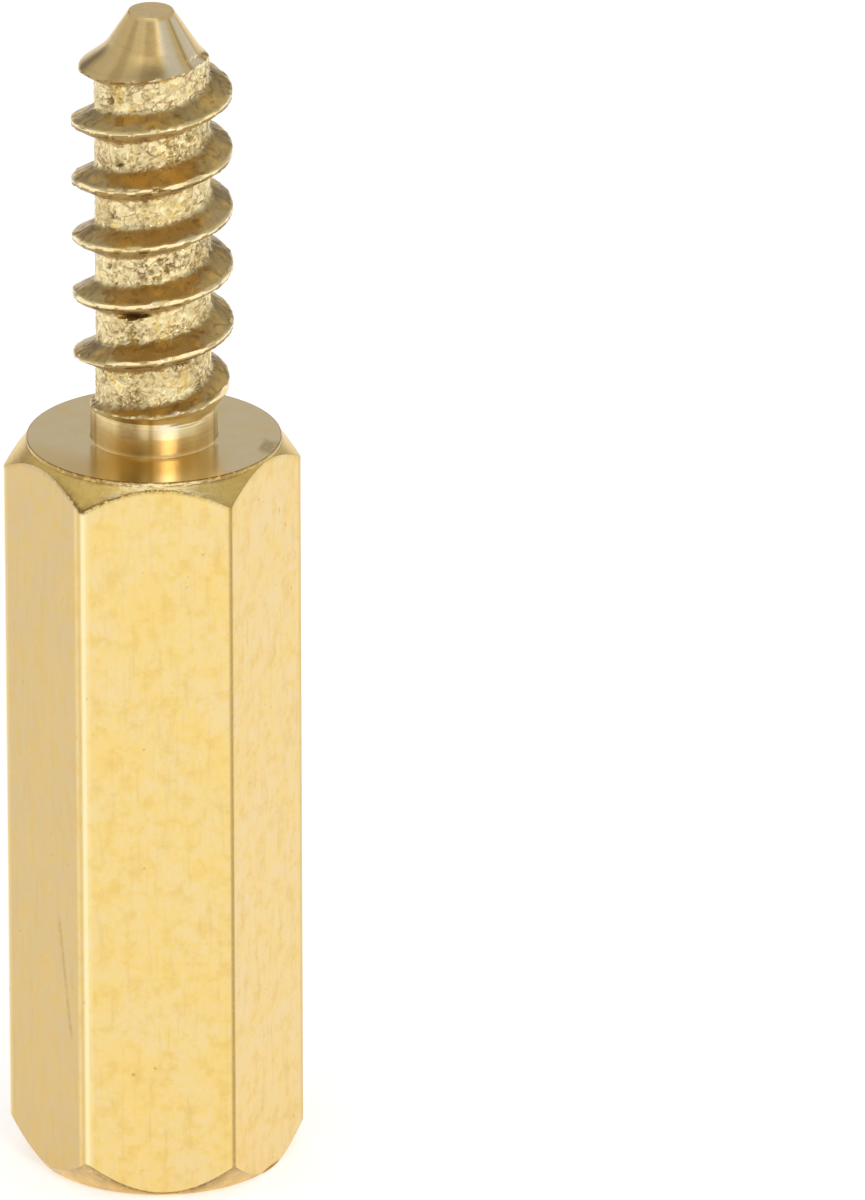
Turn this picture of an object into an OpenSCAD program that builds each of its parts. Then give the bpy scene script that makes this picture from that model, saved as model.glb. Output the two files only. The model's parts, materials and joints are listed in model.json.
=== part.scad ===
// Hexagonal standoff, turned in one piece from brass hexagon bar.
// It stands on its foot, with the stud pointing up.
// The origin is in the middle of the foot, and +Z is the turning axis.

/* [Hexagon] */
// Width of the hexagon across its flats
hex_af = 6; // [5.4:0.1:8]
// Length of the hexagon, from the foot to the shoulder
hex_len = 18; // [15:0.5:40]
// Radius along the six long corners
corner_r = 0.18; // [0.05:0.01:0.4]

/* [Foot] */
// How far the edge of the foot lies inside the flats
foot_inset = 0.2; // [0.1:0.01:0.4]
// Width of the narrow break between the foot and its chamfer
break_w = 0.155; // [0.02:0.005:0.195]
// Slope of the break, measured from the foot
break_deg = 24; // [10:1:45]
// Slope of the chamfer above it, measured from the foot
foot_deg = 57; // [20:1:65]

/* [Shoulder] */
// How far the edge of the shoulder lies inside the flats
shoulder_inset = 0.045; // [0.02:0.005:0.4]
// Height of the straight land under that edge
land_h = 0.1; // [0.02:0.01:0.3]
// Slope of the chamfer below it, measured from the shoulder
shoulder_deg = 49; // [20:1:60]

/* [Tapped hole] */
// Diameter of the hole, at the crests of its thread
bore_d = 3.46; // [2.4:0.02:4]
// Depth of the straight part of the hole
bore_depth = 12; // [6:0.5:13]
// Width of the countersink around the mouth
mouth_w = 0.4; // [0.1:0.05:0.6]
// Included angle of the countersink
mouth_deg = 90; // [60:5:120]
// Included angle that the drill left at the bottom of the hole
drill_deg = 118; // [90:1:140]

/* [Neck] */
// Diameter of the neck under the thread
neck_d = 3; // [2.9:0.02:3.3]
// Depth of the waist turned into the foot of the neck
waist_cut = 0.04; // [0.02:0.01:0.1]
// Height of the waist above the shoulder
waist_h = 0.38; // [0.2:0.02:0.42]
// Height of the whole neck, from the shoulder to the start of the thread
neck_h = 0.62; // [0.46:0.02:1.4]

/* [Stud] */
// Length of the stud, from the shoulder to the tip
stud_len = 10.5; // [7:0.5:20]
// Diameter between the turns of the thread
root_d = 2.66; // [2.3:0.02:2.8]
// Diameter over the turns of the thread
crest_d = 3.72; // [3.4:0.02:4.2]
// Rise of the thread in one turn
pitch = 1.415; // [1.2:0.005:2]
// Included angle between the two flanks of a turn
flank_deg = 60; // [40:1:70]
// Width of the land along the top of a turn
crest_w = 0.12; // [0.04:0.01:0.3]
// Turn over which the groove runs out above the neck
runout = 0.5; // [0.2:0.05:0.9]
// Slope at which the turns grow from the neck to full height
growth_deg = 20; // [10:1:30]
// Bearing at which the groove starts, from +X
start_deg = 15; // [-180:5:180]

/* [Point] */
// Diameter of the flat at the tip
tip_d = 1.03; // [0.4:0.01:1.3]
// Included angle of the point
point_deg = 66; // [50:1:80]
// Diameter at which the point flares out into the first turn
flare_d = 2.2; // [1.6:0.02:2.24]
// Included angle of the flare
flare_deg = 105; // [90:1:118]

/* [Hidden] */
$fn = 96;
// Amount by which a cut passes the face that it opens, and by which joined forms overlap
pass = 0.05;
// Shortest edge that is drawn on the stud
least = 0.01;

hex_r = hex_af / 2 / cos(30);
corner_at = (hex_af / 2 - corner_r) / cos(30);

bore_r = bore_d / 2;
mouth_h = mouth_w / tan(mouth_deg / 2);
drill_h = bore_r / tan(drill_deg / 2);

// Facets round one turn of the thread
facets = 72;
neck_r = neck_d / 2;
root_r = root_d / 2;
crest_r = crest_d / 2;
flare_r = flare_d / 2;
tip_r = tip_d / 2;

// The blank is a stack of cones, each given as its slope dr/dz and one point on it
growth_m = tan(growth_deg);
point_m = -tan(point_deg / 2);
flare_m = -tan(flare_deg / 2);
grow_z = hex_len + neck_h;
tip_z = hex_len + stud_len;
flare_z = tip_z + (flare_r - tip_r) / point_m;
// Height at which the blank is as thin as the bottom of the groove
leave_z = flare_z + (root_r - flare_r) / flare_m;

// A flank leans by this much radius for each millimetre along the axis
flank_m = 1 / tan(flank_deg / 2);
groove_half = (pitch - crest_w) / 2 - (crest_r - root_r) / flank_m;
// The groove starts this narrow, as a share of its full width
start_share = 0.35;
start_z = grow_z + start_share * groove_half + pass;
turns = (leave_z + groove_half - start_z) / pitch;

function ease(t) = let (c = min(max(t, 0), 1)) c * c * (3 - 2 * c);

// Radius of a cone of the blank at height z
function growth_at(z) = neck_r + growth_m * (z - grow_z);
function point_at(z) = tip_r + point_m * (z - tip_z);
function flare_at(z) = flare_r + flare_m * (z - flare_z);
// Radius of the whole blank at height z
function blank_at(z) = min(crest_r, max(neck_r, growth_at(z)), max(point_at(z), flare_at(z)));

// Axial length of a flank that leaves radius r at height z, until it meets one cone of the blank
function meet(cone_r, cone_m, r, side) =
    flank_m > side * cone_m ? (cone_r - r) / (flank_m - side * cone_m) : pitch;
// The same for the whole blank, upwards with side 1 and downwards with side -1
function reach(z, r, side) = max(least, min(
    meet(crest_r, 0, r, side),
    meet(growth_at(z), growth_m, r, side),
    max(meet(point_at(z), point_m, r, side), meet(flare_at(z), flare_m, r, side))));

// Heights past the end of the groove are drawn together below the flare, where they cut nothing
function hold(z) = z <= leave_z ? z : leave_z
    + (flare_z - leave_z) * (z - leave_z) / (z - leave_z + groove_half);

// Four points [radius, height] across the groove, g turns from its start, lowest first
function groove(g) =
    let (z = start_z + pitch * g)
    let (depth = ease(g / runout))
    let (r = min(crest_r, growth_at(z)) * (1 - depth) + root_r * depth)
    let (half = groove_half * (start_share + (1 - start_share) * depth))
    let (low = z - half, high = z + half)
    let (cuts = low < leave_z - least)
    let (bed_low = cuts ? low : hold(low + pass))
    let (bed_high = cuts ? min(high, leave_z) : hold(high))
    let (edge_low = cuts ? low - reach(low, r, -1) : hold(low))
    let (edge_high = high < leave_z ? high + reach(high, r, 1) : hold(high + groove_half))
    [
        [blank_at(edge_low), edge_low],
        [min(r, blank_at(bed_low)), bed_low],
        [min(r, blank_at(bed_high)), bed_high],
        [blank_at(edge_high), edge_high]
    ];

// How many times the groove crosses the meridian of facet j
function crossings(j) = floor(turns - j / facets) + 1;

// Outline of the stud along the meridian of facet j, from the neck to the tip
function meridian(j) = concat(
    [[neck_r, hex_len + waist_h], [neck_r, grow_z]],
    [for (k = [0:crossings(j) - 1]) each groove(k + j / facets)],
    [[flare_r, flare_z], [tip_r, tip_z]]);

// Number of the point before meridian j in the list of all points
function before(j) = j == 0 ? 0 : before(j - 1) + 4 + 4 * crossings(j - 1);

// Pairs of points that a facet joins across, from meridian a to the next one, b
function ties(a, b, skip) =
    let (shared = 4 * min(crossings(a), crossings(b) - skip))
    let (last_a = 3 + 4 * crossings(a), last_b = 3 + 4 * crossings(b))
    concat(
        [[0, 0], [1, 1]],
        [for (i = [0:shared - 1]) [2 + i, 2 + i + 4 * skip]],
        [[last_a - 1, last_b - 1], [last_a, last_b]]);

// Triangles between meridian a and the next one, b
function facet_strip(a, b, skip) =
    let (tie = ties(a, b, skip), from_a = before(a), from_b = before(b))
    [for (t = [0:len(tie) - 2]) each concat(
        [for (i = [tie[t][0]:1:tie[t + 1][0] - 1])
            [from_a + i, from_a + i + 1, from_b + tie[t][1]]],
        [for (i = [tie[t][1]:1:tie[t + 1][1] - 1])
            [from_b + i, from_a + tie[t + 1][0], from_b + i + 1]])];

// Hexagon bar with round long corners
module bar() {
    linear_extrude(hex_len) union() {
        for (turn = [0:60:120])
            rotate(turn) square([corner_at, hex_af], center = true);
        for (turn = [0:60:300])
            rotate(turn) translate([corner_at, 0]) circle(corner_r);
    }
}

// What the lathe leaves of the bar: a flat foot, a flat shoulder and a chamfer at each
module turned_envelope() {
    foot_r = hex_af / 2 - foot_inset;
    break_h = break_w * tan(break_deg);
    shoulder_r = hex_af / 2 - shoulder_inset;
    rotate_extrude() polygon([
        [0, 0],
        [foot_r, 0],
        [foot_r + break_w, break_h],
        [hex_r, break_h + (hex_r - foot_r - break_w) * tan(foot_deg)],
        [hex_r, hex_len - land_h - (hex_r - shoulder_r) * tan(shoulder_deg)],
        [shoulder_r, hex_len - land_h],
        [shoulder_r, hex_len],
        [0, hex_len]
    ]);
}

// Countersink, tapping drill and the cone at the bottom of the hole
module tapped_hole() {
    rotate_extrude() polygon([
        [0, -pass],
        [bore_r + mouth_w + pass * tan(mouth_deg / 2), -pass],
        [bore_r, mouth_h],
        [bore_r, bore_depth],
        [0, bore_depth + drill_h]
    ]);
}

// Waist between the shoulder and the neck
module waist() {
    translate([0, 0, hex_len - pass])
        cylinder(r = neck_r - waist_cut, h = waist_h + 2 * pass);
}

// Neck, right-hand self-tapping thread and point, as one helical surface
module stud() {
    meridians = [for (j = [0:facets - 1]) meridian(j)];
    points = [for (j = [0:facets - 1]) for (p = meridians[j])
        [p[0] * cos(360 * j / facets), p[0] * sin(360 * j / facets), p[1]]];
    strips = [for (j = [0:facets - 1])
        each facet_strip(j, (j + 1) % facets, j == facets - 1 ? 1 : 0)];
    underside = [for (j = [0:facets - 1]) before(j)];
    tip = [for (j = [facets - 1:-1:0]) before(j) + 3 + 4 * crossings(j)];
    rotate(start_deg) polyhedron(points, concat(strips, [underside, tip]));
}

module standoff() {
    color([0.86, 0.73, 0.45]) union() {
        difference() {
            intersection() {
                bar();
                turned_envelope();
            }
            tapped_hole();
        }
        waist();
        stud();
    }
}

standoff();
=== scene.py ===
# %% [markdown]
# # A brass hex standoff
# The standoff is one piece of brass. A lathe turned it from hexagon bar: the foot is faced and drilled, the
# other end is turned down to a stud, and a coarse thread is cut into the stud so that it bites its own way
# into plastic or wood. Everything here is measured in millimetres and is made metres as it enters Blender.
#
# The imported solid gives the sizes. Its thread is clean, and the real one is torn and burred, so the piece is
# modelled again on the same axis, as one closed surface that stands for the solid.

# %% Load the frame
import json
import math

import bpy
import numpy as np
from mathutils import Matrix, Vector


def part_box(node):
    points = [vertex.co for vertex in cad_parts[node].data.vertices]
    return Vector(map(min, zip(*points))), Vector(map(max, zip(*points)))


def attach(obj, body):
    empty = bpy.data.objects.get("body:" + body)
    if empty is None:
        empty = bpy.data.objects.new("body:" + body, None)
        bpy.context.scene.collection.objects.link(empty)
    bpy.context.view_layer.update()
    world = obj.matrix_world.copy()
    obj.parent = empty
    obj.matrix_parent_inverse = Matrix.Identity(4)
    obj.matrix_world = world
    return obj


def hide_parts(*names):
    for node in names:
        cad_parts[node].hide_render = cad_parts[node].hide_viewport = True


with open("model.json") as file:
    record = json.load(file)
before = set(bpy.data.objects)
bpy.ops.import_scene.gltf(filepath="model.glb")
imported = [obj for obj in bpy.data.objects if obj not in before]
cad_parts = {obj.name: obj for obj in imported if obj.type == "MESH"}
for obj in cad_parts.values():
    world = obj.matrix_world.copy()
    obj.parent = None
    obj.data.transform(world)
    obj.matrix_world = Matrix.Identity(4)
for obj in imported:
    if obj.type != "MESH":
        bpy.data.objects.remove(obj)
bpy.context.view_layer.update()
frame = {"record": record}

# %% [markdown]
# ## The sizes of the turned part
# The frame gives the width of the hexagon, the height of the tip, the shoulder and the hole. The rest are the
# small sizes of the tools that turned it: how wide a chamfer is, how steep a flank.

# %% Sizes, in millimetres
MM = 0.001
low, high = (np.array(corner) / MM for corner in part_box("standoff"))
mounts = {mount["name"]: mount for mount in frame["record"]["mounts"]}
flat_r = (high[1] - low[1]) / 2
tip_z = high[2]
shoulder_z = mounts["shoulder"]["pos_m"][2] / MM
bore_r = mounts["tapped_hole"]["dims"]["r_mm"]

corner_r = 0.18
foot_r = flat_r - 0.2
break_r, break_z = flat_r - 0.045, 0.069
foot_rise = math.tan(math.radians(57))
shoulder_r = flat_r - 0.045
land_z = shoulder_z - 0.1
shoulder_rise = math.tan(math.radians(49))
# Both ends were turned slightly off the middle of the bar
foot_off = np.array([0.09, 0.0])
shoulder_off = np.array([0.048, 0.0])
print("across flats", 2 * flat_r, "shoulder at", shoulder_z, "tip at", tip_z)

# %% [markdown]
# ## Columns and rows
# A lathe makes surfaces of revolution, so the natural grid has one direction round the axis and one along the
# profile. Round the hexagon the columns crowd together at the six long corners, where the surface turns most.
# Round the stud they are even.

# %% Bearings of the columns
TURN = 2 * math.pi
COLUMNS = 240
SIDES = 6
sharp_corner, sharp_r = math.radians(300), 0.08
arc_steps, flat_steps = 12, 14
corner_at = (flat_r - corner_r) / math.cos(math.radians(30))
arc_half = math.atan2(corner_r * 0.5, corner_at + corner_r * math.cos(math.radians(30)))


def smooth(t):
    """Eases from 0 to 1: 3 t^2 - 2 t^3 of t held between 0 and 1."""
    t = np.clip(t, 0.0, 1.0)
    return t * t * (3 - 2 * t)


def hexagon_bearings():
    """Bearings from the middle of the back flat: even steps along a flat, fine steps round a corner."""
    reach = math.tan(math.pi / 6 - arc_half)
    rise = np.arctan(np.linspace(0, reach, flat_steps + 1))[:-1]
    arc = np.linspace(-arc_half, arc_half, arc_steps + 1)[:-1] + math.pi / 6
    fall = (math.pi / 3 - rise)[::-1]
    side = np.concatenate([rise, arc, [math.pi / 6 + arc_half], fall[:-1]])
    return np.concatenate([math.pi / 2 + side + k * math.pi / 3 for k in range(SIDES)])


hex_bearing = hexagon_bearings()
print("columns", len(hex_bearing))


def from_corner(bearing, corner=0.0):
    """Signed angle from the nearest long corner, or from the one at the given bearing if it is nearest."""
    off = (bearing - corner + math.pi / 6) % (math.pi / 3) - math.pi / 6
    turned = (bearing - corner + math.pi) % TURN - math.pi
    return off, np.abs(turned) < math.pi / 6


def hexagon_radius(bearing):
    """Distance to the hexagon: flat / cos from the flat's middle, or the circle of the corner near a corner.

    The circle's middle lies at (flat - r) / cos 30, and r is smaller on the one corner that stayed sharp.
    """
    off, sharp = from_corner(bearing, sharp_corner)
    r = np.where(sharp, sharp_r, corner_r)
    middle = (flat_r - r) / math.cos(math.radians(30))
    edge = np.arctan2(r * 0.5, middle + r * math.cos(math.radians(30)))
    straight = flat_r / np.cos(math.pi / 6 - np.abs(off))
    chord = np.sqrt(np.maximum(r**2 - (middle * np.sin(off)) ** 2, 0))
    return np.where(np.abs(off) < edge, middle * np.cos(off) + chord, straight)


# %% [markdown]
# ## Noise for torn metal
# Brass cuts cleanly on a cone and tears in a deep groove. Random values on a lattice, blended smoothly between
# the lattice points, give a surface that looks torn, and a fixed seed gives the same tears in every run.

# %% Lattice noise
LATTICE = 64


def noise(points, cell, seed):
    """Random values from -1 to 1 on a cubic lattice, blended by the eased distance to its eight corners."""
    values = np.random.default_rng(seed).uniform(-1, 1, (LATTICE,) * 3)
    place = points / cell
    base = np.floor(place).astype(int)
    share = smooth(place - base)
    total = np.zeros(points.shape[:-1])
    for corner in np.ndindex(2, 2, 2):
        weight = np.prod(np.where(np.array(corner, bool), share, 1 - share), axis=-1)
        i, j, k = np.moveaxis((base + corner) % LATTICE, -1, 0)
        total += weight * values[i, j, k]
    return total


# %% [markdown]
# ## The self-tapping thread
# The blank of the stud is a stack of cones: a neck, a short growth to full height, a cylinder, a flare and the
# point. One groove winds up it. Across the groove the radius is a flat bed with a straight flank at each side,
# so the stud is the smaller of two radii at each bearing and height: that of the blank, and that of the groove.

# %% The thread's sizes
neck_r = 1.475
grow_z = shoulder_z + 0.62
root_r, crest_r = 1.33, 1.86
pitch, crest_w = 1.415, 0.12
flank_m = 1 / math.tan(math.radians(30))
groove_half = (pitch - crest_w) / 2 - (crest_r - root_r) / flank_m
run_in, start_share = 0.5, 0.35
start_bearing = math.radians(15)
start_z = grow_z + start_share * groove_half + 0.05
# The lip under the first turn was pushed down and out
lip_z, lip_m, lip_sag = shoulder_z + 0.84, math.tan(math.radians(36)), 0.17
tip_r, point_m = 0.515, -math.tan(math.radians(33))
flare_r, flare_m = 1.1, -math.tan(math.radians(52.5))
flare_z = tip_z + (flare_r - tip_r) / point_m


def soft_min(a, b, width):
    """The smaller of two values, with the step between them rounded over width."""
    h = np.clip(0.5 + 0.5 * (b - a) / width, 0, 1)
    return b + (a - b) * h - width * h * (1 - h)


def soft_max(a, b, width):
    """The larger of two values, rounded in the same way."""
    return -soft_min(-a, -b, width)


def beside(bearing, degrees, half_width):
    """1 at a bearing in degrees, fading to 0 at half_width degrees from it."""
    off = (np.degrees(bearing) - degrees + 180) % 360 - 180
    return smooth(1.5 * (1 - np.abs(off) / half_width))


def blank_radius(bearing, z):
    """Radius of the blank: growth, then crest, then whichever of point and flare reaches further out.

    The flare is narrower where the groove leaves it, and its last bit stands up there as a torn stub.
    """
    full = crest_r - 0.11 * (1 - smooth((z - lip_z - 0.5) / 0.9)) - 0.18 * smooth((z - flare_z + 1.0) / 0.3)
    growth = soft_min(np.maximum(neck_r, neck_r + lip_m * (z - lip_z)), full, 0.04)
    point = tip_r + point_m * (z - tip_z)
    flare = flare_r - 0.12 * beside(bearing, 0, 75) + flare_m * (z - flare_z)
    stub = 1.32 - 0.6 * (1 - beside(bearing, -22, 48)) - 4 * np.maximum(z - flare_z + 0.17, 0)
    top = np.maximum(soft_max(point, flare, 0.12), stub)
    return soft_min(growth, top, 0.03)


def groove_radius(bearing, z):
    """Radius of the groove and the height over its middle, for the nearer of the two turns round a point."""
    turn = ((bearing - start_bearing) % TURN) / TURN
    nearest = np.floor((z - start_z) / pitch - turn)
    best, across = np.full(z.shape, 9.0), np.full(z.shape, pitch / 2)
    for step in (0, 1):
        g = nearest + step + turn
        middle = start_z + pitch * g
        depth = smooth(g / run_in)
        mouth = np.clip(neck_r + lip_m * (middle - lip_z), neck_r, crest_r)
        bed = mouth * (1 - depth) + root_r * depth
        half = groove_half * (start_share + (1 - start_share) * depth)
        sag = lip_sag * (1 - 0.6 * smooth((g - 0.7) / 0.3)) * (g < 1.6) * smooth(g / 0.3)
        below = np.where(z < middle, sag, 0)
        radius = soft_max(bed, bed + (np.abs(z - middle) - half - below) * flank_m, 0.10)
        radius = np.where(g < 0, 9.0, radius)
        across = np.where(radius < best, z - middle, across)
        best = np.minimum(best, radius)
    return best, across


# %% [markdown]
# ## A grid that follows the helix
# Rings of equal height would cut the thin crest of the thread into steps. Here the rows climb with the thread
# instead, so that a crest lies along a row. After a full turn such a row has climbed one pitch, and it meets
# the row that started one pitch higher. At both ends a wedge of rows, closed to a point at the seam, takes up
# that one pitch, so the grid ends in level rings.

# %% Rows that climb with a thread
def climbing_rows(columns, spacing, turns, start):
    """Heights of a grid whose rows rise one pitch a turn, and the row at which each row goes on past the seam.

    spacing is the heights of one pitch's rows, from 0. Between two wedges lie the given number of turns.
    """
    rise, count = spacing[-1], len(spacing) - 1
    share = np.arange(columns + 1) / columns
    step = spacing[:-1, None]
    foot = start + step * share
    levels = np.arange(turns)[:, None, None] * rise
    body = (start + levels + step[None] + share * rise).reshape(-1, columns + 1)
    top = start + rise * turns
    head = top + rise * share + step * (1 - share)
    heights = np.concatenate([foot, body, head, np.full((1, columns + 1), top + rise)])
    rows = np.arange(len(heights))
    past_seam = np.where(rows < count * (turns + 1), rows + count, len(heights) - 1)
    return heights, past_seam, count


# %% [markdown]
# ## The stud's surface
# The seam of the climbing rows is placed at the bearing where the thread's crest stands exactly at the top of
# the neck, which is at the back. One pitch is divided unevenly: finely over the crest, evenly over the bed.

# %% Heights on the stud
flank_h = (crest_r - root_r) / flank_m
marks = np.cumsum([0, crest_w / 2, flank_h, 2 * groove_half, flank_h, crest_w / 2])
spacing = np.concatenate([
    np.linspace(a, b, n, endpoint=False) for a, b, n in zip(marks[:-1], marks[1:], (2, 8, 16, 8, 2))
] + [marks[-1:]])
stud_turns = 6
rows_z = shoulder_z + 0.48
crest_at_zero = start_z - start_bearing / TURN * pitch - pitch / 2
seam_bearing = (rows_z - crest_at_zero) / pitch * TURN
stud_z, stud_past, rows_a_pitch = climbing_rows(COLUMNS, spacing, stud_turns, rows_z)
stud_bearing = seam_bearing + np.arange(COLUMNS + 1) / COLUMNS * TURN
print("thread rows", len(stud_z), "seam bearing", round(math.degrees(seam_bearing), 1))

# %% [markdown]
# ## Tears, burrs and waves
# Four things part the real thread from a clean one. The beds are torn into pits. The crests wave, because the
# bar gives under the tool. Some crests are nicked. Here and there a chip was folded over and left a gap, and
# the gap is painted dark as painted shade. Each is a small change of radius or height, weighted so that it acts
# only where it belongs; the painted shade goes into the thread's colour.

# %% The largest tears
# Bearing in degrees, height, half length round the stud, half height and depth
tears = [
    (-110, 21.48, 0.34, 0.045, 0.22), (-118, 21.38, 0.34, 0.03, -0.14), (-66, 20.26, 0.36, 0.07, 0.09), (-87, 24.785, 0.14, 0.03, 0.10),
    (-137, 26.62, 0.10, 0.07, 0.07), (-136, 23.78, 0.06, 0.05, 0.06), (-141, 22.52, 0.07, 0.05, 0.07),
    (-40, 22.91, 0.06, 0.10, 0.08), (-60, 18.76, 0.40, 0.05, 0.03), (-128, 25.1, 0.12, 0.03, 0.07),
    (-70, 26.45, 0.10, 0.04, 0.06), (-36, 27.50, 0.28, 0.04, 0.07), (100, 21.9, 0.30, 0.05, 0.12), (20, 24.2, 0.25, 0.04, 0.10),
    (170, 25.0, 0.20, 0.05, 0.09), (60, 26.0, 0.22, 0.06, 0.08),
]


def torn_depth(bearing, z, r):
    """Sum over the tears: depth times an ellipse that eases from 1 in its middle to 0 at its edge."""
    total = np.zeros(z.shape)
    for angle, height, half_long, half_high, depth in tears:
        along = ((bearing - math.radians(angle) + math.pi) % TURN - math.pi) * r / half_long
        across = (z - height) / half_high
        total += depth * smooth(1.4 - np.hypot(along, across))
    return total


print("tears", len(tears))

# %% The torn thread
SEED = 11


def stud_surface():
    """Points of the stud: the smaller of blank and groove, then moved by the tears and waves of the metal."""
    bearing = np.broadcast_to(stud_bearing, stud_z.shape)
    groove, across = groove_radius(bearing, stud_z)
    blank = blank_radius(bearing, stud_z)
    radius = soft_min(blank, groove, 0.02)
    ring = np.stack([np.cos(bearing), np.sin(bearing)], -1)
    place = np.concatenate([ring * radius[..., None], stud_z[..., None]], -1)

    cut = smooth((blank - groove) / 0.06)
    bed = cut * smooth((root_r + 0.11 - radius) / 0.08)
    crest = smooth(1 - np.abs(blank - groove) / 0.06) * smooth((radius - root_r - 0.1) / 0.2)
    flank = cut * (1 - bed)
    facing_up = across < 0
    past = groove - blank
    land = smooth((past + 0.03) / 0.03) * smooth((0.16 - past) / 0.05) * smooth((blank - root_r - 0.1) / 0.2)
    # Painted shade: the thread's colour makes the flanks that face up darker, and the flanks and lands that face down
    # darker still, less so near the lip
    upper, lower = flank * facing_up, np.maximum(flank, land) * ~facing_up
    lower = lower * (1 - 0.8 * smooth((shoulder_z + 1.3 - stud_z) / 0.1))
    inner = cut * smooth((root_r + 0.36 - radius) / 0.3) * smooth((radius - root_r - 0.02) / 0.06) * facing_up
    plain = smooth(past / 0.03) * smooth((neck_r + 0.12 - blank) / 0.05) * (stud_z < shoulder_z + 2)

    grain = noise(place * (1, 1, 1.3), 0.10, SEED)
    chips = noise(place * (1, 1, 1.8), 0.17, SEED + 1)
    fine = noise(place, 0.055, SEED + 2)
    patch = smooth(0.5 + noise(place, 0.6, SEED + 3) * 1.3)
    folds = 1 - smooth(np.abs(grain + 0.5 * chips) / 0.28)
    pits = smooth((grain * 0.7 + chips * 0.6 - 0.15) / 0.45)
    torn = 0.5 + 0.5 * patch
    gouged = torn_depth(bearing, stud_z, radius)
    radius = radius - bed * torn * (0.05 * pits + 0.035 * folds + 0.018 * fine)
    radius = radius - flank * (0.018 * grain + 0.014 * chips + 0.010 * fine) - gouged
    nick = smooth((noise(place, 0.26, SEED + 4) - 0.2) / 0.5)
    radius = radius - crest * (0.05 * nick + 0.014 * fine)
    ragged = 1 + 1.8 * smooth((shoulder_z + 1.6 - stud_z) / 0.4)
    wave = noise(place, 0.9, SEED + 5) * 0.04 + noise(place, 0.22, SEED + 6) * 0.028 * ragged
    height = stud_z + crest * (1 - plain) * wave
    # Painted shade: how dark the hollows are, in the folds and pits of the beds, in the large tears, and where the
    # upper flank meets the bed
    painted_hollow_shade = np.clip(bed * torn * (0.9 * folds + 0.7 * pits) + gouged / 0.06 + 0.6 * inner * (0.4 + 0.6 * patch), 0, 1)
    # Painted highlight on the upward half of each crest's land
    crest_highlight = land * facing_up * (1 - plain)
    cone = (past > -0.01) & (stud_z > flare_z - 0.8) & (blank < 1.72)
    values = {"bed": bed, "crest": crest_highlight, "upper": upper, "lower": lower, "painted_hollow_shade": painted_hollow_shade}
    return bearing, radius, height, values, plain > 0.5, cone


bearing, radius, height, masks, plain, cone = stud_surface()
stud_points = np.stack([
    radius * np.cos(bearing) + shoulder_off[0], radius * np.sin(bearing) + shoulder_off[1], height], -1)
print("stud radius from", radius.min().round(3), "to", radius.max().round(3))

# %% [markdown]
# ## The hexagon and its turned ends
# The rows of the hexagon are rings of points as well. A chamfer is a cone, and it meets the flats of the
# hexagon in six arcs: the height of a point on the arc follows from how far the hexagon's wall lies outside
# the cone's edge, times the cone's slope. Close pairs of rows on both sides of an edge keep it crisp.

# %% Rings of the hexagon
wall = hexagon_radius(hex_bearing)[:, None] * np.stack([np.cos(hex_bearing), np.sin(hex_bearing)], -1)
stud_ring = stud_bearing[:COLUMNS]
foot_arc = break_z + (np.linalg.norm(wall - foot_off, axis=1) - break_r) * foot_rise
shoulder_arc = land_z - (np.linalg.norm(wall - shoulder_off, axis=1) - shoulder_r) * shoulder_rise


def ring(r, z, off, share=0.0):
    """A level circle round an axis that lies off the middle. share turns its columns from the hexagon's
    bearings to the stud's."""
    turned = hex_bearing * (1 - share) + stud_ring * share
    flat = np.stack([r * np.cos(turned), r * np.sin(turned)], -1) + off
    return np.concatenate([flat, np.broadcast_to(z, (COLUMNS,))[:, None]], 1)


def wall_ring(z):
    """A ring on the flats, at one height or at a height for each column."""
    return np.concatenate([wall, np.broadcast_to(z, (COLUMNS,))[:, None]], 1)


def between(first, last, shares):
    """Rings on the straight lines from one ring to another, at the given shares of the way."""
    return [first * (1 - s) + last * s for s in shares]


edge_shares = (0.06, 0.14, 0.5, 0.86, 0.94)
wall_shares = np.concatenate([[0.0015, 0.004], np.linspace(0.02, 0.98, 9), [0.993, 0.9965, 0.9985]])
mouth_out = bore_r + 0.4
rows = []
rows += [("foot", ring(r, 0.0, foot_off * s, 1 - s)) for r, s in
         zip(np.linspace(mouth_out + 0.06, foot_r - 0.02, 5), np.linspace(0, 1, 5))]
rows += [("foot", ring(foot_r, 0.0, foot_off))]
rows += [("foot", ring(foot_r + 0.012, 0.005, foot_off))]
rows += [("foot", ring(break_r, break_z, foot_off))]
foot_edge, shoulder_edge = wall_ring(foot_arc), wall_ring(shoulder_arc)
rows += [("foot", r) for r in between(rows[-1][1], foot_edge, edge_shares)]
foot_row = len(rows)
rows += [("flats", foot_edge)]
rows += [("flats", r) for r in between(foot_edge, shoulder_edge, wall_shares)]
shoulder_row = len(rows)
rows += [("turned", shoulder_edge)]
land_ring = ring(shoulder_r, land_z, shoulder_off)
rows += [("turned", r) for r in between(shoulder_edge, land_ring, edge_shares)]
rows += [("turned", land_ring)]
rows += [("turned", ring(shoulder_r, shoulder_z - 0.04, shoulder_off))]
rim_row = len(rows)
rows += [("turned", ring(shoulder_r, shoulder_z - 0.012, shoulder_off))]
rows += [("shoulder", ring(shoulder_r - 0.012, shoulder_z, shoulder_off))]
rows += [("shoulder", ring(r, shoulder_z, shoulder_off, smooth(s))) for r, s in
         zip(np.linspace(shoulder_r - 0.04, neck_r + 0.03, 15), np.linspace(0, 1, 15))]
rows += [("neck", ring(neck_r + 0.008, shoulder_z + 0.008, shoulder_off, 1))]
rows += [("neck", ring(neck_r, z, shoulder_off, 1)) for z in np.linspace(shoulder_z + 0.03, rows_z - 0.06, 5)]
print("rings below the thread", len(rows))

# %% [markdown]
# ## One closed surface
# All rows are stacked in one grid, and the faces are written from the numbers of its points. At the seam of
# the thread, a point past the last column is the same as a point of the first column one pitch higher, so the
# numbers are shared and the seam is closed. The tip ends in a pole.

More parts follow.
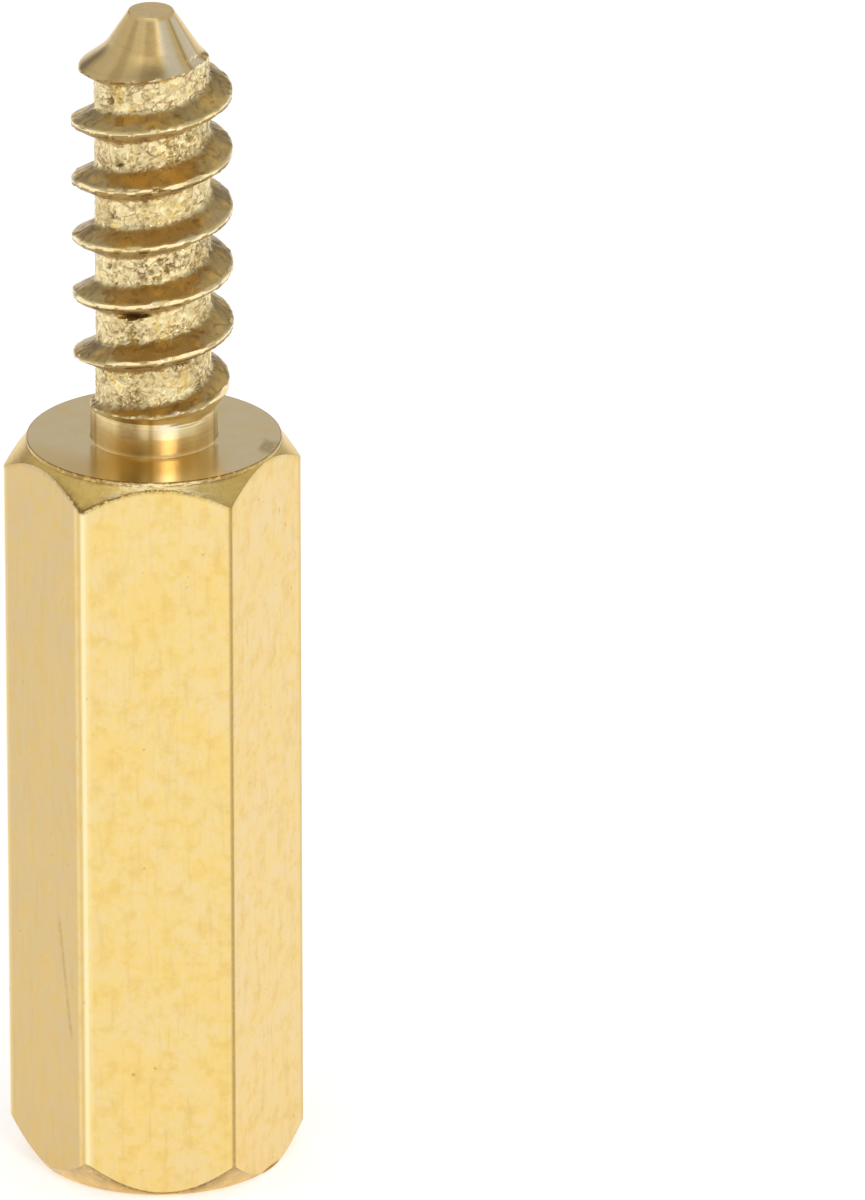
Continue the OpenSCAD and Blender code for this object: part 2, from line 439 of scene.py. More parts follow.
# %% Number the points and make the faces
def grid_faces(ids):
    """Quads between neighbouring rows and columns. Where a wedge is closed, a quad has two equal numbers."""
    a, b = ids[:-1, :-1], ids[:-1, 1:]
    c, d = ids[1:, 1:], ids[1:, :-1]
    return np.stack([a, b, c, d], -1)


lower = np.stack([points for _, points in rows])
lower_count, stud_count = len(lower), len(stud_z)
tip_rings = [(tip_r + 0.035, tip_z - 0.05), (tip_r + 0.004, tip_z - 0.008), (tip_r - 0.006, tip_z)]
tip_rings += [(r, tip_z) for r in np.linspace(tip_r - 0.04, 0.05, 6)]
upper = np.stack([ring(r, z, shoulder_off, 1) for r, z in tip_rings])
points = np.concatenate([lower, stud_points[:, :COLUMNS], upper])
zones = [zone for zone, _ in rows] + ["thread"] * stud_count + ["point"] * len(upper)
numbers = np.arange(points.shape[0] * COLUMNS).reshape(-1, COLUMNS)
past_seam = np.arange(len(points))
past_seam[lower_count:lower_count + stud_count] = lower_count + stud_past
numbers[lower_count:lower_count + rows_a_pitch, 0] = numbers[lower_count + rows_a_pitch, 0]
ids = np.concatenate([numbers, numbers[past_seam, :1]], 1)
outside = grid_faces(ids)
print("grid", ids.shape, "faces", outside.shape[0] * outside.shape[1])

# %% [markdown]
# ## The tapped hole
# A tap cuts a fine thread into the wall of the drilled hole. The same climbing rows carry it, this time with
# the larger of two radii, because a groove in a hole goes outwards. The hole needs a third of the columns, and
# a ring of triangles on the flat foot joins the two grids.

# %% The hole's rows
HOLE_COLUMNS = COLUMNS // 3
fine_pitch, fine_depth, fine_flat = 0.794, 0.34, 0.05
hole_depth, thread_depth, mouth_z = 12.0, 10.0, 0.03
fine_flank = fine_depth / flank_m
fine_marks = np.cumsum([0, fine_flat, fine_flank, fine_pitch - 2 * (fine_flat + fine_flank), fine_flank, fine_flat])
fine_spacing = np.concatenate([
    np.linspace(a, b, n, endpoint=False) for a, b, n in zip(fine_marks[:-1], fine_marks[1:], (1, 2, 2, 2, 1))
] + [fine_marks[-1:]])
hole_z, hole_past, fine_rows = climbing_rows(HOLE_COLUMNS, fine_spacing, 12, mouth_z)
hole_share = np.arange(HOLE_COLUMNS + 1) / HOLE_COLUMNS


def hole_radius(z, share):
    """The larger of the wall's radius and the fine groove's, which fades out at the end of the thread."""
    wall_r = np.maximum(bore_r, mouth_out - z)
    fade = 1 - smooth((z - thread_depth + 1) / 1.2)
    off = (z - mouth_z - share * fine_pitch + fine_pitch / 2) % fine_pitch - fine_pitch / 2
    groove = bore_r + fine_depth * fade - np.maximum(np.abs(off) - fine_flat, 0) * flank_m
    return np.maximum(wall_r, groove)


def hole_ring(r, z):
    """Points of the hole at the given radii and heights."""
    turned = seam_bearing + hole_share[:-1] * TURN
    return np.stack(np.broadcast_arrays(r * np.cos(turned), r * np.sin(turned), z), -1)


drill_rise = 1 / math.tan(math.radians(59))
threaded = hole_ring(hole_radius(hole_z, hole_share)[:, :-1], hole_z[:, :-1])
bottom = [(bore_r, z) for z in (thread_depth + 0.7, 11.4, hole_depth)]
bottom += [(r, hole_depth + (bore_r - r) * drill_rise) for r in (1.2, 0.6, 0.12)]
hole = np.concatenate([
    [hole_ring(mouth_out, 0.0)], threaded, [hole_ring(r, z) for r, z in bottom]])
first = points.shape[0] * COLUMNS
hole_numbers = first + np.arange(hole.shape[0] * HOLE_COLUMNS).reshape(-1, HOLE_COLUMNS)
hole_seam = np.arange(len(hole))
hole_seam[1:1 + len(hole_z)] = 1 + hole_past
hole_numbers[1:1 + fine_rows, 0] = hole_numbers[1 + fine_rows, 0]
hole_ids = np.concatenate([hole_numbers, hole_numbers[hole_seam, :1]], 1)
inside = grid_faces(hole_ids[::-1])
print("hole rows", len(hole), "faces", inside.shape[0] * inside.shape[1])

# %% [markdown]
# ## Poles and the ring on the foot
# The tip and the drill's cone each end in one point. A triangle is written as a quad that names one of its
# corners twice, and such quads lose the spare corner when the mesh is made.

# %% Close the surface
tip_pole = first + hole.shape[0] * HOLE_COLUMNS
drill_pole = tip_pole + 1
poles = np.array([[*shoulder_off, tip_z], [0, 0, hole_depth + bore_r * drill_rise]])
a, b = ids[-1, :-1], ids[-1, 1:]
tip_fan = np.stack([a, b, np.full_like(a, tip_pole), np.full_like(a, tip_pole)], -1)
a, b = hole_ids[-1, :-1], hole_ids[-1, 1:]
drill_fan = np.stack([b, a, np.full_like(a, drill_pole), np.full_like(a, drill_pole)], -1)
a, b = hole_ids[0, :-1], hole_ids[0, 1:]
o0, o1, o2, o3 = ids[0, 0:-1:3], ids[0, 1::3], ids[0, 2::3], ids[0, 3::3]
foot_ring = np.concatenate([
    np.stack(corners, -1) for corners in ((a, o1, o0, o0), (a, b, o1, o1), (b, o2, o1, o1), (b, o3, o2, o2))])

SLOTS = ["foot", "flats", "turned", "shoulder", "neck", "thread", "point", "hole"]
outside_slots = np.repeat([SLOTS.index(zone) for zone in zones[:-1]], COLUMNS).reshape(-1, COLUMNS)
on_stud = outside_slots[lower_count:lower_count + stud_count]
on_stud[plain[:, :COLUMNS]] = SLOTS.index("neck")
on_stud[cone[:, :COLUMNS]] = SLOTS.index("point")
faces = np.concatenate([outside.reshape(-1, 4), inside.reshape(-1, 4), tip_fan, drill_fan, foot_ring])
face_slots = np.concatenate([
    outside_slots.ravel(), np.full(inside.shape[0] * inside.shape[1], SLOTS.index("hole")),
    np.full(len(tip_fan), SLOTS.index("point")), np.full(len(drill_fan), SLOTS.index("hole")),
    np.full(len(foot_ring), SLOTS.index("foot"))])
every_point = np.concatenate([points.reshape(-1, 3), hole.reshape(-1, 3), poles])
print("points", len(every_point), "faces", len(faces))


# %% Values at the points
def on_points(values, first_row, row_count):
    """A value for every point: the given one on some rows, and 0 elsewhere."""
    grid = np.zeros(points.shape[:2])
    grid[first_row:first_row + row_count] = values
    return np.concatenate([grid.ravel(), np.zeros(len(every_point) - grid.size)])


def near_corner(degrees, half_width, shift=0.0):
    """1 on a line beside the long corner at a bearing, fading out about half_width millimetres off the line."""
    off, own = from_corner(hex_bearing, math.radians(degrees))
    along = off * flat_r / math.cos(math.pi / 6) - shift
    return own * smooth(1.3 - np.abs(along) / half_width)


def around(degrees, half_width):
    """1 on the column at a bearing in degrees, fading to 0 at half_width degrees from it."""
    return beside(hex_bearing, degrees, half_width)


# Painted shade and painted sheen of each flat, for the flats that face 90, 150, 210, 270, 330 and 30 degrees: the left
# flat is painted darker and the right one paler, for how light falls on them
painted_shade_of_flats, painted_sheen_of_flats = (0.2, 0.5, 1.0, 0.0, 0.0, 0.5), (0.4, 0.6, 0.5, 0.0, 1.0, 0.8)
flat_of_column = (np.floor((hex_bearing - math.pi / 3) / (math.pi / 3)).astype(int)) % SIDES
# The painted shade of the left flat fades out beside its front corner
painted_flat_shade = np.array(painted_shade_of_flats)[flat_of_column] * (1 - near_corner(240, 0.12, -0.14))
# Painted highlight along five of the rounded long corners, where they mirror a bright lamp
painted_corner_highlight = sum(near_corner(angle, 0.07, 0.03) for angle in (0, 60, 120, 180, 240))
# Dark lines along the sharp front right corner, and fainter ones beside the other long corners
dark_corner_lines = near_corner(300, 0.055) + 0.35 * sum(near_corner(angle, 0.03, -0.09) for angle in (0, 60, 120, 180, 240))
point_values = {name: on_points(mask[:, :COLUMNS], lower_count, stud_count) for name, mask in masks.items()}

# Painted reflections: dark bands that run up the neck and the point, where the turned surface mirrors dark gaps in the
# studio. Bearing in degrees, half width in degrees and strength
point_dark_bands = [(-126, 9, 0.35), (-92, 15, 0.5), (-46, 4, 0.55), (-22, 4, 0.5), (-172, 8, 0.3)]
neck_dark_bands = [(-94.5, 3, 0.5), (-115, 16, 0.75), (-42, 14, 0.2), (-20, 4, 0.5), (-158, 4, 0.5)]
painted_dark_bands, painted_highlight = np.zeros((2, *points.shape[:2]))
on_point = slice(lower_count + rows_a_pitch, lower_count + stud_count)
painted_dark_bands[on_point] = sum(s * beside(stud_ring, angle, w) for angle, w, s in point_dark_bands)
# Painted highlight: pale stripes up the point and the neck, where the softboxes shine
painted_highlight[on_point] = 0.7 * beside(stud_ring, -67, 15) + 0.7 * beside(stud_ring, -33, 15)
on_neck = slice(zones.index("neck"), lower_count + rows_a_pitch)
painted_dark_bands[on_neck] = sum(s * beside(stud_ring, angle, w) for angle, w, s in neck_dark_bands)
painted_highlight[on_neck] = beside(stud_ring, -79, 15)
point_values |= {"painted_dark_bands": on_points(painted_dark_bands, 0, len(painted_dark_bands)), "painted_highlight": on_points(painted_highlight, 0, len(painted_highlight))}

# Dark broken lines along the edges of the two chamfers and the shoulder's rim, strongest at the front left of the
# upper chamfer. At the foot's edge they are painted shade, where the chamfer mirrors the shaded floor just under the
# part
line = np.zeros((lower_count, COLUMNS))
line[shoulder_row - 2:shoulder_row + 3] = np.outer((0.5, 1.0, 1.0, 0.8, 0.4), 0.2 + 0.8 * around(257, 48))
frayed, painted_front_reflection = np.zeros((2, lower_count, COLUMNS))
frayed[shoulder_row:rim_row] = around(272, 30)
# Painted reflection: an ochre tint on the front of the shoulder and the neck, where the shoulder mirrors the neck
painted_front_reflection[rim_row + 1:] = beside(stud_ring, -92, 60)
line[rim_row - 3:rim_row + 2] = np.outer((0.3, 0.8, 0.8, 1.0, 1.0), 0.6 + 0.4 * around(265, 70))
line[foot_row - 3:foot_row + 1] = np.outer((0.35, 0.7, 1.0, 1.0), 0.2 + 0.8 * around(270, 45))
nicked = np.zeros((lower_count, COLUMNS))
nicked[rim_row - 1:rim_row + 6] = around(341, 11)
point_values |= {name: on_points(rows_of_ends, 0, lower_count) for name, rows_of_ends in {
    "line": line, "nicked": nicked, "frayed": frayed, "painted_front_reflection": painted_front_reflection}.items()}
point_values |= {name: on_points(mask, 0, lower_count) for name, mask in {
    "painted_corner_highlight": painted_corner_highlight, "dark_corner_lines": dark_corner_lines, "painted_flat_shade": painted_flat_shade,
    "pale": np.array(painted_sheen_of_flats)[flat_of_column]}.items()}

# %% [markdown]
# ## The mesh
# The numbers go into the mesh in whole arrays. Points that no face names are left out, and normals are
# smoothed everywhere but across the sharp edges.

# %% Make the mesh
def solid_mesh(name, corners, faces, slots, values):
    """A mesh of quads and triangles. A repeated corner is dropped from its face, and so is an unused point."""
    keep = faces != np.roll(faces, -1, axis=1)
    whole = keep.sum(1) > 2
    faces, keep, slots = faces[whole], keep[whole], slots[whole]
    used, loops = np.unique(faces[keep], return_inverse=True)
    starts = np.concatenate([[0], np.cumsum(keep.sum(1))[:-1]])
    mesh = bpy.data.meshes.new(name)
    mesh.vertices.add(len(used))
    mesh.vertices.foreach_set("co", (corners[used] * MM).astype(np.float32).ravel())
    mesh.loops.add(len(loops))
    mesh.loops.foreach_set("vertex_index", loops.astype(np.int32).ravel())
    mesh.polygons.add(len(faces))
    mesh.polygons.foreach_set("loop_start", starts.astype(np.int32))
    mesh.polygons.foreach_set("material_index", slots.astype(np.int32))
    mesh.update(calc_edges=True)
    mesh.validate()
    mesh.polygons.foreach_set("use_smooth", np.ones(len(mesh.polygons), bool))
    mesh.set_sharp_from_angle(angle=math.radians(32))
    for key, numbers_of_points in values.items():
        layer = mesh.attributes.new(key, "FLOAT", "POINT")
        layer.data.foreach_set("value", numbers_of_points[used].astype(np.float32))
    return mesh


standoff_mesh = solid_mesh("turned_standoff", every_point, faces, face_slots, point_values)
standoff_mesh.calc_loop_triangles()
print("triangles", len(standoff_mesh.loop_triangles))

# %% [markdown]
# ## Writing shaders as sums
# A finish is a sum of patterns: a noise times its strength, less a mask, and so on. A small class lets Python's
# own operators add the Math nodes, so that the lines below read as the formulas that they are.

# %% Node helpers
class Value:
    """A socket that holds a number. Python's operators on it add Math nodes."""

    def __init__(self, tree, socket):
        self.tree, self.socket = tree, socket

    def math(self, operation, *others):
        return self.tree.node("ShaderNodeMath", {"operation": operation}, dict(enumerate(others)))

    def __add__(self, other):
        return self.math("ADD", self, other)

    def __sub__(self, other):
        return self.math("SUBTRACT", self, other)

    def __rsub__(self, other):
        return self.math("SUBTRACT", other, self)

    def __mul__(self, other):
        return self.math("MULTIPLY", self, other)

    __radd__, __rmul__ = __add__, __mul__


class Tree:
    """A node tree. node() makes any node: its settings first, then the values or links of its sockets."""

    def __init__(self, owner):
        owner.use_nodes = True
        self.nodes, self.links = owner.node_tree.nodes, owner.node_tree.links

    def join(self, socket, value):
        if isinstance(value, Value):
            self.links.new(value.socket, socket)
        else:
            socket.default_value = value

    def node(self, kind, settings=None, values=None, output=0):
        made = self.nodes.new(kind)
        for key, value in (settings or {}).items():
            setattr(made, key, value)
        for key, value in (values or {}).items():
            self.join(made.inputs[key], value)
        return Value(self, made.outputs[output])

    def step(self, value, start, end):
        """Eases from 0 at start to 1 at end."""
        return self.node("ShaderNodeMapRange", {"interpolation_type": "SMOOTHSTEP"},
                         {"Value": value, "From Min": start, "From Max": end})

    def mix(self, share, first, second):
        """The first colour where share is 0 and the second where it is 1."""
        return self.node("ShaderNodeMix", {"data_type": "RGBA"}, {0: share, 6: first, 7: second}, 2)


class Finish(Tree):
    """A material round a Principled shader, with a place in millimetres for its patterns."""

    def __init__(self, name):
        self.material = bpy.data.materials.new(name)
        super().__init__(self.material)
        self.shader = self.nodes["Principled BSDF"]
        here = self.node("ShaderNodeTexCoord", output="Object")
        self.place = self.node("ShaderNodeVectorMath", {"operation": "SCALE"}, {0: here, "Scale": 1 / MM})

    def stretch(self, factors):
        """The place, made longer or shorter along each axis."""
        return self.node("ShaderNodeVectorMath", {"operation": "MULTIPLY"}, {0: self.place, 1: factors})

    def noise(self, size, detail=2.0, roughness=0.5, place=None, swirl=0.0):
        """Noise with features of about the given size in millimetres, from 0 to 1. swirl curls them."""
        values = {"Vector": place or self.place, "Scale": 1 / size, "Detail": detail, "Roughness": roughness,
                  "Distortion": swirl}
        return self.node("ShaderNodeTexNoise", {}, values)

    def lines(self, pattern, width):
        """1 on thin lines, where a pattern passes its middle value of a half."""
        return 1 - self.step((pattern - 0.5).math("ABSOLUTE", pattern - 0.5), 0.0, width)

    def spot(self, centre, radius):
        """1 in a small round spot about a place in millimetres."""
        far = self.node("ShaderNodeVectorMath", {"operation": "DISTANCE"}, {0: self.place, 1: centre}, "Value")
        return 1 - self.step(far, radius * 0.5, radius)

    def scratch(self, lean, start, low_z, high_z):
        """1 on a hairline at x = start + lean * z, between two heights."""
        aside = self.node("ShaderNodeVectorMath", {"operation": "DOT_PRODUCT"}, {0: self.place, 1: (1, 0, -lean)}, "Value")
        height = self.node("ShaderNodeSeparateXYZ", {}, {0: self.place}, "Z")
        ends = self.step(height, low_z, low_z + 0.4) * (1 - self.step(height, high_z - 0.4, high_z))
        off = aside - start
        return ends * (1 - self.step(off.math("ABSOLUTE", off), 0.0, 0.06))

    def attribute(self, name):
        """A value that was stored on the points of the mesh."""
        return self.node("ShaderNodeAttribute", {"attribute_name": name}, {}, "Fac")

    def surface(self, **values):
        """Sets the shader's own sockets, with spaces for the underscores of their names."""
        for key, value in values.items():
            self.join(self.shader.inputs[key.replace("_", " ")], value)

    def bump(self, height, depth):
        """Tilts the surface by a height pattern whose full range is the given depth in millimetres."""
        values = {"Height": height, "Distance": depth * MM, "Strength": 1.0}
        self.surface(Normal=self.node("ShaderNodeBump", {}, values))


print("node helpers ready")

# %% [markdown]
# ## Bare brass in six finishes
# The whole part is one brass, a warm yellow metal. What changes over it is how it was worked, and where light and
# shade are painted into its colour. The flats were drawn with the bar and then tumbled, which leaves them satin
# and softly mottled; each flat is painted darker or paler for its light, and the long corners carry a painted
# highlight. The turned ends show fine rings, with painted highlights and painted reflections on the neck, the point
# and the shoulder. The neck is almost bright. The beds of the thread are torn and matt, its crests carry a painted
# highlight, and its undersides and hollows are painted shade.

# %% Colours of the brass
yellow = (0.88, 0.66, 0.255, 1)
peach = (0.87, 0.655, 0.32, 1)
tan = (0.62, 0.45, 0.215, 1)
pale = (0.86, 0.70, 0.42, 1)
straw = (1.0, 0.86, 0.49, 1)
golden = (0.90, 0.64, 0.25, 1)
honey = (0.90, 0.65, 0.20, 1)
ochre = (0.74, 0.48, 0.13, 1)
bright = (1.0, 0.87, 0.51, 1)
cream = (1.0, 0.93, 0.72, 1)
amber = (0.88, 0.58, 0.17, 1)
bronze = (0.50, 0.34, 0.12, 1)
umber = (0.34, 0.21, 0.07, 1)
dark = (0.22, 0.12, 0.035, 1)


# Places and radii of the dark specks that show on the front and right flats
marks = [((-0.62, -3.0, 3.17), 0.055), ((-0.11, -3.0, 3.32), 0.04), ((1.08, -3.0, 16.22), 0.03),
         ((2.02, -2.3, 17.05), 0.06), ((2.05, -2.3, 1.2), 0.06)]


def flats_finish():
    """Satin brass: yellow and pale in soft clouds, fine grain, and a few dark specks."""
    f = Finish("brass_flats")
    clouds = f.noise(1.1, 3.0, 0.6)
    grain = f.noise(0.10, 2.0)
    cloth = f.noise(0.42, 4.0, 0.65)
    mottle = f.step(clouds * 0.35 + grain * 0.35 + cloth * 0.3, 0.34, 0.66)
    drawn = f.noise(0.16, 3.0, 0.6, f.stretch((1, 1, 0.12)))
    # Painted sheen and painted shade: each flat is painted paler or darker than the others for how light falls on it
    metal = f.mix(f.attribute("pale"), yellow, peach)
    metal = f.mix(f.attribute("painted_flat_shade"), metal, tan)
    metal = f.mix(mottle * (0.6 - f.attribute("painted_flat_shade") * 0.3), metal, pale)
    metal = f.mix((1 - mottle) * (0.8 - f.attribute("painted_flat_shade") * 0.4), metal, honey)
    metal = f.mix(f.step(drawn, 0.5, 0.8) * 0.2, metal, bronze)
    metal = f.mix(f.step(cloth, 0.54, 0.30) * 0.34, metal, ochre)
    metal = f.mix(f.scratch(-0.0883, -1.696, 3.75, 6.94) * (grain * 1.3 - 0.15), metal, bronze)
    # Painted highlight along the long corners
    metal = f.mix(f.attribute("painted_corner_highlight") * (0.7 + grain * 0.4), metal, bright)
    metal = f.mix(f.attribute("dark_corner_lines") * (0.6 + grain * 0.8), metal, bronze)
    torn = f.noise(0.10, 3.0, 0.6)
    # Dark broken lines along the edges, painted shade at the foot's edge
    metal = f.mix(f.attribute("line") * f.step(torn, 0.3, 0.6), metal, dark)
    specks = f.step(f.noise(0.13, 0.0), 0.83, 0.86)
    specks = sum((f.spot(place, radius) for place, radius in marks), specks * 0.6)
    metal = f.mix(specks * 0.7, metal, bronze)
    f.surface(Base_Color=metal, Metallic=1.0, Roughness=0.32 + clouds * 0.08 + grain * 0.08)
    f.bump(grain * 0.4 + cloth * 0.3 + drawn * 0.3, 0.010)
    return f


def turned_finish(name, roughness, tone, other, torn=0.0, bands=0.0):
    """Turned brass: fine rings round the axis, which follow from the distance to it and the height.

    Bands run up the surface: their noise depends on the direction from the axis only.
    """
    f = Finish(name)
    flat = f.stretch((1, 1, 0))
    outward = f.node("ShaderNodeVectorMath", {"operation": "NORMALIZE"}, {0: flat})
    banded = f.noise(0.45, 2.0, 0.5, outward)
    across = f.node("ShaderNodeVectorMath", {"operation": "LENGTH"}, {0: flat}, "Value")
    height = f.node("ShaderNodeSeparateXYZ", {}, {0: f.place}, "Z")
    rings = f.node("ShaderNodeTexNoise", {"noise_dimensions": "1D"},
                   {"W": across + height, "Scale": 22.0, "Detail": 3.0})
    clouds = f.noise(0.6, 3.0, 0.6)
    grain = f.noise(0.12, 3.0, 0.6)
    streaks = f.noise(0.1, 3.0, 0.7, f.stretch((0.5, 0.5, 2.5)), 0.6)
    metal = f.mix(f.step(clouds * 0.7 + rings * 0.3, 0.3, 0.7), tone, other)
    metal = f.mix(f.step(banded + rings * 0.3, 0.55, 0.85) * bands, metal, bronze)
    metal = f.mix(f.step(rings, 0.5, 0.8) * bands * 0.6, metal, bronze)
    # Painted reflection: dark bands up the neck and the point
    metal = f.mix(f.attribute("painted_dark_bands") * (0.6 + grain * 0.6), metal, umber)
    # Painted highlight: pale stripes up the neck and the point
    metal = f.mix(f.attribute("painted_highlight") * (0.5 + grain * 0.8), metal, cream)
    metal = f.mix(f.step(grain, 0.5, 0.8) * torn, metal, bronze)
    metal = f.mix(f.step(streaks, 0.5, 0.7) * torn * 0.5, metal, bright)
    # Painted reflection of the neck on the front of the shoulder
    metal = f.mix(f.attribute("painted_front_reflection") * 0.65, metal, ochre)
    metal = f.mix(f.lines(streaks, 0.02) * torn * 0.5, metal, dark)
    # Dark broken lines along the edges, painted shade at the foot's edge
    metal = f.mix(f.attribute("line") * f.step(grain, 0.2, 0.55), metal, dark)
    metal = f.mix(f.attribute("frayed") * f.step(streaks, 0.42, 0.56) * 0.8, metal, bright)
    metal = f.mix(f.attribute("nicked") * f.step(streaks, 0.30, 0.48) * 0.8, metal, bronze)
    f.surface(Base_Color=metal, Metallic=1.0, Roughness=roughness + clouds * 0.08)
    f.bump(rings * 0.25 + clouds * 0.3 + grain * 0.3 + streaks * 0.15, 0.004 + 0.012 * torn)
    return f


def thread_finish():
    """Cut and torn brass: matt pale beds with painted highlights on torn facets, upper flanks painted darker bronze as
    painted shade, painted highlights on the crests, and painted shade under the crests and in the hollows.
    """
    f = Finish("brass_thread")
    bed, crest, upper, lower, painted_hollow_shade = (
        f.attribute(name) for name in ("bed", "crest", "upper", "lower", "painted_hollow_shade"))
    torn = f.noise(0.30, 3.0, 0.6, swirl=0.8)
    folds = f.noise(0.34, 2.0, 0.5, swirl=0.6)
    patches = f.noise(0.55, 2.0, 0.6)
    fine = f.noise(0.08, 2.0, 0.6)
    clouds = f.noise(0.5, 3.0, 0.6)
    metal = f.mix(f.step(clouds, 0.35, 0.65), yellow, pale)
    # Painted highlights on the torn facets of the beds
    metal = f.mix(bed * f.step(torn, 0.40, 0.54), metal, straw)
    metal = f.mix(bed * f.step(patches, 0.52, 0.66) * 0.35, metal, bronze)
    # Painted shade: the upper flanks are painted darker, on top of the dim ceiling that they mirror
    metal = f.mix(upper * 0.7, metal, bronze)
    metal = f.mix(upper * f.step(patches, 0.47, 0.6) * 0.7, metal, amber)
    metal = f.mix(upper * f.step(torn, 0.52, 0.66) * 0.6, metal, umber)
    # Painted shade under the crests, on the flanks and lands that face down
    metal = f.mix(lower * 0.95, metal, umber)
    metal = f.mix(f.lines(folds, 0.06) * bed * (0.15 + f.step(clouds, 0.42, 0.6) * 0.6), metal, umber)
    metal = f.mix(f.step(fine, 0.56, 0.7) * (0.2 + bed * 0.1), metal, bronze)
    # Painted shade in the hollows
    metal = f.mix(painted_hollow_shade * 0.68, metal, dark)
    # Painted highlight on the crests
    metal = f.mix(crest * f.step(torn, 0.3, 0.6) * 0.85, metal, bright)
    f.surface(Base_Color=metal, Metallic=1.0, Roughness=0.24 + bed * 0.06 + fine * 0.14)
    relief = torn * 0.6 + fine * 0.2 - f.lines(folds, 0.08) * 0.15
    f.bump(relief * (0.35 + bed * 0.65), 0.035)
    return f


finishes = {
    "foot": turned_finish("brass_foot", 0.26, golden, tan, 0.25),
    "flats": flats_finish(),
    "turned": turned_finish("brass_turned", 0.22, amber, honey, 0.35),
    "shoulder": turned_finish("brass_shoulder", 0.15, pale, peach),
    "neck": turned_finish("brass_neck", 0.28, straw, peach, 0.0, 0.15),
    "thread": thread_finish(),
    "point": turned_finish("brass_point", 0.24, golden, peach, 0.1, 0.25),
    "hole": turned_finish("brass_hole", 0.3, yellow, tan),
}
print("finishes", sorted(finishes))

# %% [markdown]
# ## The standoff itself
# The object sits at the origin, with its place in its mesh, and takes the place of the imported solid. It is one
# piece of one body.

# %% The piece
standoff = bpy.data.objects.new("turned_standoff", standoff_mesh)
bpy.context.scene.collection.objects.link(standoff)
for slot in SLOTS:
    standoff_mesh.materials.append(finishes[slot].material)
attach(standoff, "root")
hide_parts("standoff")

# %% [markdown]
# ## Floor and studio
# Bare metal is only as good as what it mirrors. The upright faces mirror the pale floor in front of them, the
# shoulder mirrors the studio behind, and the upper flanks of the thread mirror the dim ceiling. Two softboxes
# add the bright stripes.

# %% The floor
FLOOR_R = 2.0
floor_mesh = bpy.data.meshes.new("floor")
around = np.arange(64) / 64 * TURN
floor_points = np.stack([FLOOR_R * np.cos(around), FLOOR_R * np.sin(around), 0 * around], -1)
floor_mesh.from_pydata(floor_points.tolist(), [], [list(range(64))])
floor = bpy.data.objects.new("floor", floor_mesh)
bpy.context.scene.collection.objects.link(floor)


def shown(tree, *rays):
    """1 for the named kinds of ray, and 0 for the others."""
    outputs = [tree.node("ShaderNodeLightPath", output="Is " + ray + " Ray") for ray in rays]
    total = outputs[0]
    for other in outputs[1:]:
        total = total.math("MAXIMUM", total, other)
    return total


floor_look = Finish("pale_floor")
paint = floor_look.node("ShaderNodeBsdfDiffuse", {}, {"Color": (0.9, 0.9, 0.9, 1)})
glow_level = 0.47 * shown(floor_look, "Camera", "Glossy", "Transmission")
glow = floor_look.node("ShaderNodeEmission", {}, {"Color": (1, 1, 1, 1), "Strength": glow_level})
both = floor_look.node("ShaderNodeAddShader", {}, {0: paint, 1: glow})
floor_look.join(floor_look.nodes["Material Output"].inputs["Surface"], both)
floor_mesh.materials.append(floor_look.material)
print("floor radius", FLOOR_R)

# %% The studio's walls and ceiling
world = bpy.data.worlds.new("studio")
bpy.context.scene.world = world
studio = Tree(world)
direction = studio.node("ShaderNodeTexCoord", output="Generated")
up = studio.node("ShaderNodeSeparateXYZ", {}, {0: direction}, "Z")
across = studio.node("ShaderNodeSeparateXYZ", {}, {0: direction}, "X")
behind = studio.node("ShaderNodeSeparateXYZ", {}, {0: direction}, "Y")
aside = across.math("ABSOLUTE", across)
sides = studio.step(aside, 0.14, 0.36) * (1 - studio.step(aside, 0.5, 0.75))
dark_corners = sides * studio.step(up, 0.0, 0.1) * (1 - studio.step(up, 0.3, 0.42)) * 0.45
dark_front = studio.step(behind, -0.3, -0.7) * studio.step(up, 0.12, 0.3) * (1 - studio.step(up, 0.48, 0.6)) * 0.22
dim_ceiling = 1 - studio.step(up, 0.0, 0.22) * 0.45 - studio.step(up, 0.9, 0.99) * 0.2 - dark_corners - dark_front
ambient = 0.59
camera_ray = shown(studio, "Camera")
mirrored = shown(studio, "Glossy", "Transmission")
level = camera_ray + (1 - camera_ray) * (mirrored * dim_ceiling + (1 - mirrored) * ambient)
studio.join(studio.nodes["Background"].inputs["Color"], (1, 1, 1, 1))
studio.join(studio.nodes["Background"].inputs["Strength"], level)


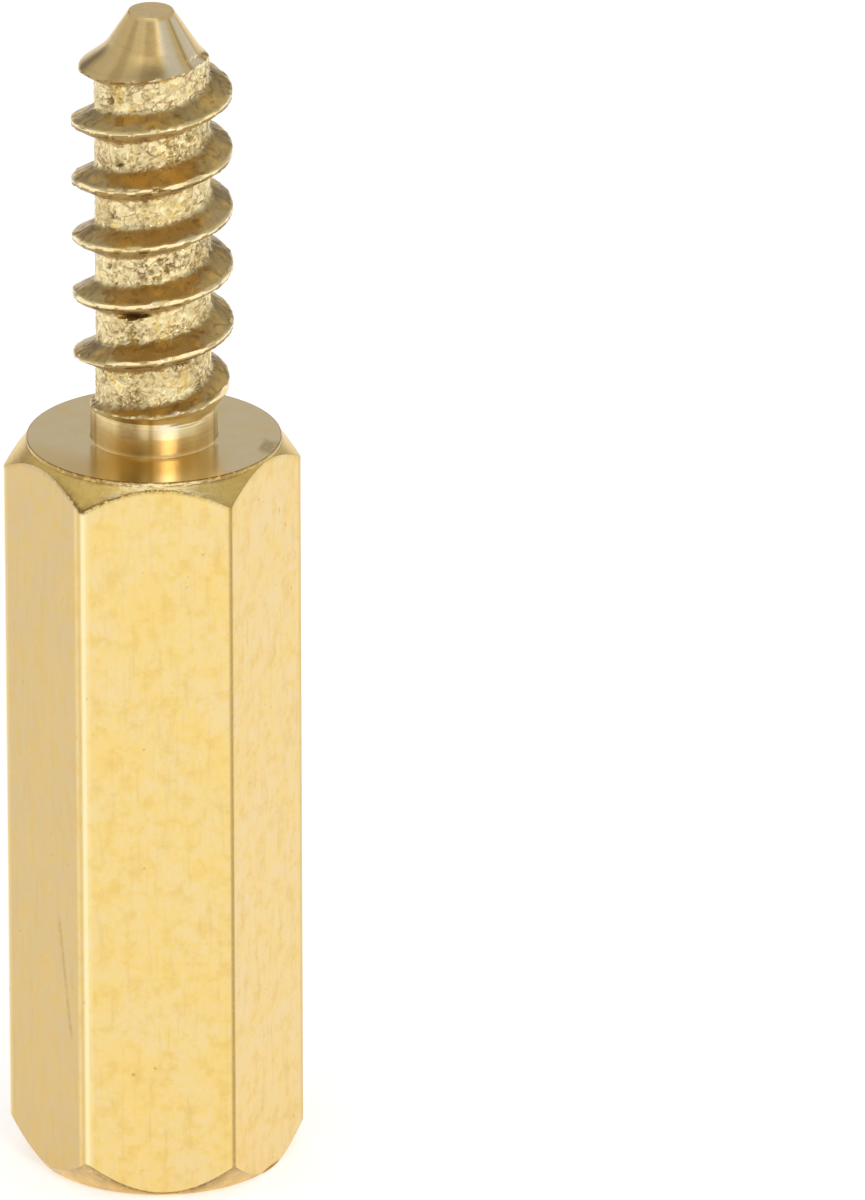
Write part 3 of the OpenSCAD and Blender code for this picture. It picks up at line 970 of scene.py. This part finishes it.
# %% Softboxes
def softbox(name, azimuth, elevation, width, height, radiance, distance=0.4):
    """An area light that faces the stud. Azimuth 0 is in front, and its power is radiance * pi * area."""
    az, el = math.radians(azimuth), math.radians(elevation)
    towards = np.array([math.sin(az) * math.cos(el), -math.cos(az) * math.cos(el), math.sin(el)])
    data = bpy.data.lights.new(name, "AREA")
    data.shape, data.size, data.size_y = "RECTANGLE", width, height
    data.energy = radiance * math.pi * width * height
    side = np.cross([0, 0, 1], towards)
    side /= np.linalg.norm(side)
    axes = np.stack([side, np.cross(towards, side), towards], 1)
    frame_of_light = np.eye(4)
    frame_of_light[:3, :3] = axes
    frame_of_light[:3, 3] = towards * distance + [0, 0, 0.014]
    lamp = bpy.data.objects.new(name, data)
    lamp.matrix_world = Matrix(frame_of_light)
    lamp.visible_camera = False
    bpy.context.scene.collection.objects.link(lamp)
    return lamp


softbox("strip_light", 25, 22, 0.11, 0.06, 5.0, 0.3)
softbox("front_softbox", 18, 24, 0.26, 0.13, 0.4)
softbox("left_softbox", -52, 24, 0.52, 0.14, 0.12)
softbox("chamfer_softbox", -64, 50, 0.20, 0.16, 0.14)
softbox("cone_softbox", 24, 43, 0.08, 0.13, 0.7)
softbox("top_softbox", -6, 60, 0.30, 0.18, 0.4)

# %% [markdown]
# ## The camera
# The photograph was taken from nearly straight in front, looking down by about 22 degrees through a long lens.
# The camera's place follows from that direction, from the distance, and from where a point of the axis falls
# in the picture.

# %% The camera
PHOTO_W, PHOTO_H = 865, 1200
azimuth, elevation, roll = (math.radians(angle) for angle in (-2.412, 22.477, -0.066))
distance = 437.087
target = np.array([0, 0, 12.0])
target_x, target_y = 153.657, 674.425
px_per_mm = 43.038

back = np.array([math.sin(azimuth) * math.cos(elevation), -math.cos(azimuth) * math.cos(elevation),
                 math.sin(elevation)])
level_right = np.cross(-back, [0, 0, 1])
level_right /= np.linalg.norm(level_right)
level_up = np.cross(level_right, -back)
right = math.cos(roll) * level_right + math.sin(roll) * level_up
up_axis = math.cos(roll) * level_up - math.sin(roll) * level_right
eye = (target - right * (target_x - PHOTO_W / 2) / px_per_mm + up_axis * (target_y - PHOTO_H / 2) / px_per_mm
       + back * distance)
camera_frame = np.eye(4)
camera_frame[:3, :3] = np.stack([right, up_axis, back], 1)
camera_frame[:3, 3] = eye * MM
camera_data = bpy.data.cameras.new("camera")
camera_data.sensor_width = 36
camera_data.lens = px_per_mm * distance / PHOTO_H * camera_data.sensor_width
camera_data.clip_start, camera_data.clip_end = 0.01, 20
camera = bpy.data.objects.new("camera", camera_data)
camera.matrix_world = Matrix(camera_frame)
bpy.context.scene.collection.objects.link(camera)
bpy.context.scene.camera = camera
bpy.context.scene.view_settings.view_transform = "Standard"
print("lens", round(camera_data.lens, 1), "eye", eye.round(2))
